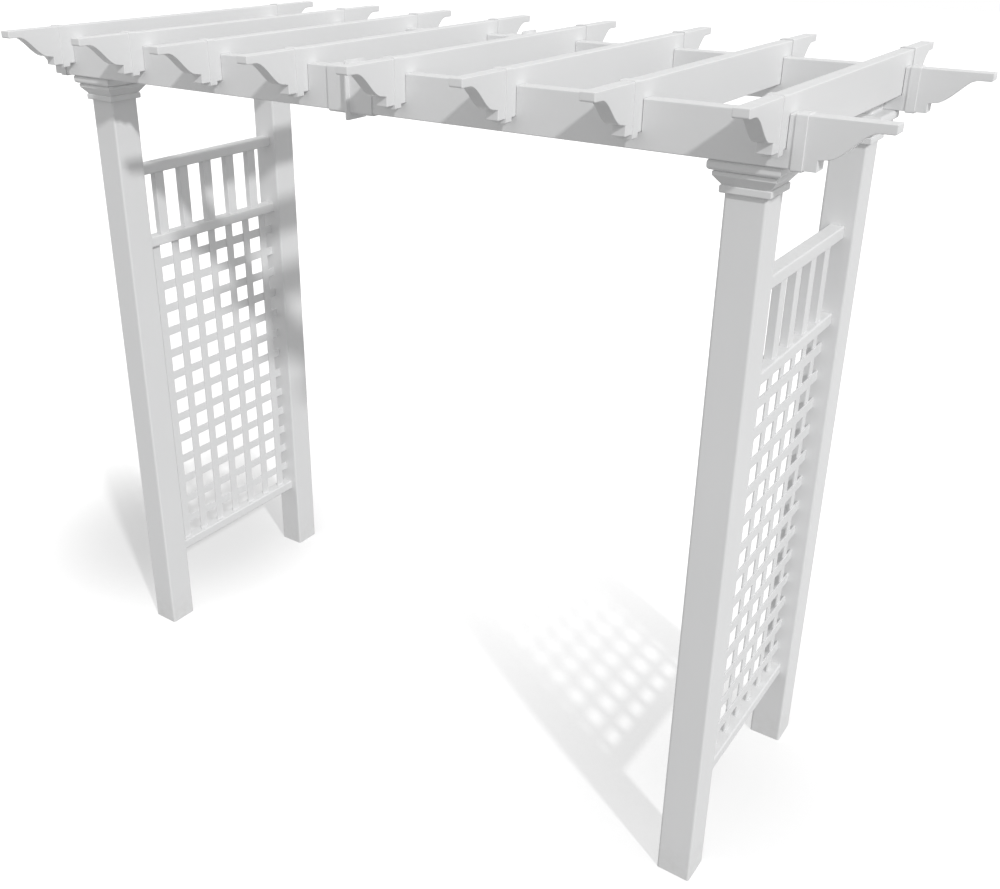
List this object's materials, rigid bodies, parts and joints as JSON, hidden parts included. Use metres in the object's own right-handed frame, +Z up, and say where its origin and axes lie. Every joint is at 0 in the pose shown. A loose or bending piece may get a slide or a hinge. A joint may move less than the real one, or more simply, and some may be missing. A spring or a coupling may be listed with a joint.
{
  "type": "garden arbor",
  "caption": "Free-standing white garden arbor with square posts, lattice sides, and beams and rafters with scroll ends.",
  "frame": {"origin": "on the ground, at the middle of the footprint of the four posts", "axes": "+X along the beams, across the passage; +Y along the rafters, the way one walks through; +Z up"},
  "size_m": [2.837, 1.3786, 2.278],
  "materials": {
    "vinyl": "satin",
    "guide": "matte",
    "alloy": "mill",
    "zinc": "zinc plated"
  },
  "bodies": {
    "root": {"front_left_post": "vinyl", "front_left_capital": "vinyl", "front_left_beam": "vinyl", "front_left_beam_scroll": "vinyl", "front_right_post": "vinyl", "front_right_capital": "vinyl", "front_right_beam": "vinyl", "front_right_beam_scroll": "vinyl", "rear_left_post": "vinyl", "rear_left_capital": "vinyl", "rear_left_beam": "vinyl", "rear_left_beam_scroll": "vinyl", "rear_right_post": "vinyl", "rear_right_capital": "vinyl", "rear_right_beam": "vinyl", "rear_right_beam_scroll": "vinyl", "front_coupler": "vinyl", "rear_coupler": "vinyl", "rafter_1": "vinyl", "rafter_2": "vinyl", "rafter_3": "vinyl", "rafter_4": "vinyl", "rafter_5": "vinyl", "rafter_6": "vinyl", "rafter_7": "vinyl", "rafter_8": "vinyl", "front_rafter_scroll_1": "vinyl", "front_rafter_scroll_2": "vinyl", "front_rafter_scroll_3": "vinyl", "front_rafter_scroll_4": "vinyl", "front_rafter_scroll_5": "vinyl", "front_rafter_scroll_6": "vinyl", "front_rafter_scroll_7": "vinyl", "front_rafter_scroll_8": "vinyl", "rear_rafter_scroll_1": "vinyl", "rear_rafter_scroll_2": "vinyl", "rear_rafter_scroll_3": "vinyl", "rear_rafter_scroll_4": "vinyl", "rear_rafter_scroll_5": "vinyl", "rear_rafter_scroll_6": "vinyl", "rear_rafter_scroll_7": "vinyl", "rear_rafter_scroll_8": "vinyl", "left_top_rail": "vinyl", "left_mid_rail": "vinyl", "left_bottom_rail": "vinyl", "left_spindles": "vinyl", "left_lattice_uprights": "vinyl", "left_lattice_crosspieces": "vinyl", "right_top_rail": "vinyl", "right_mid_rail": "vinyl", "right_bottom_rail": "vinyl", "right_spindles": "vinyl", "right_lattice_uprights": "vinyl", "right_lattice_crosspieces": "vinyl", "pipe_guides": "guide", "front_stiffener": "alloy", "rear_stiffener": "alloy", "post_screws": "zinc", "rafter_screws": "zinc"}
  },
  "joints": []
}
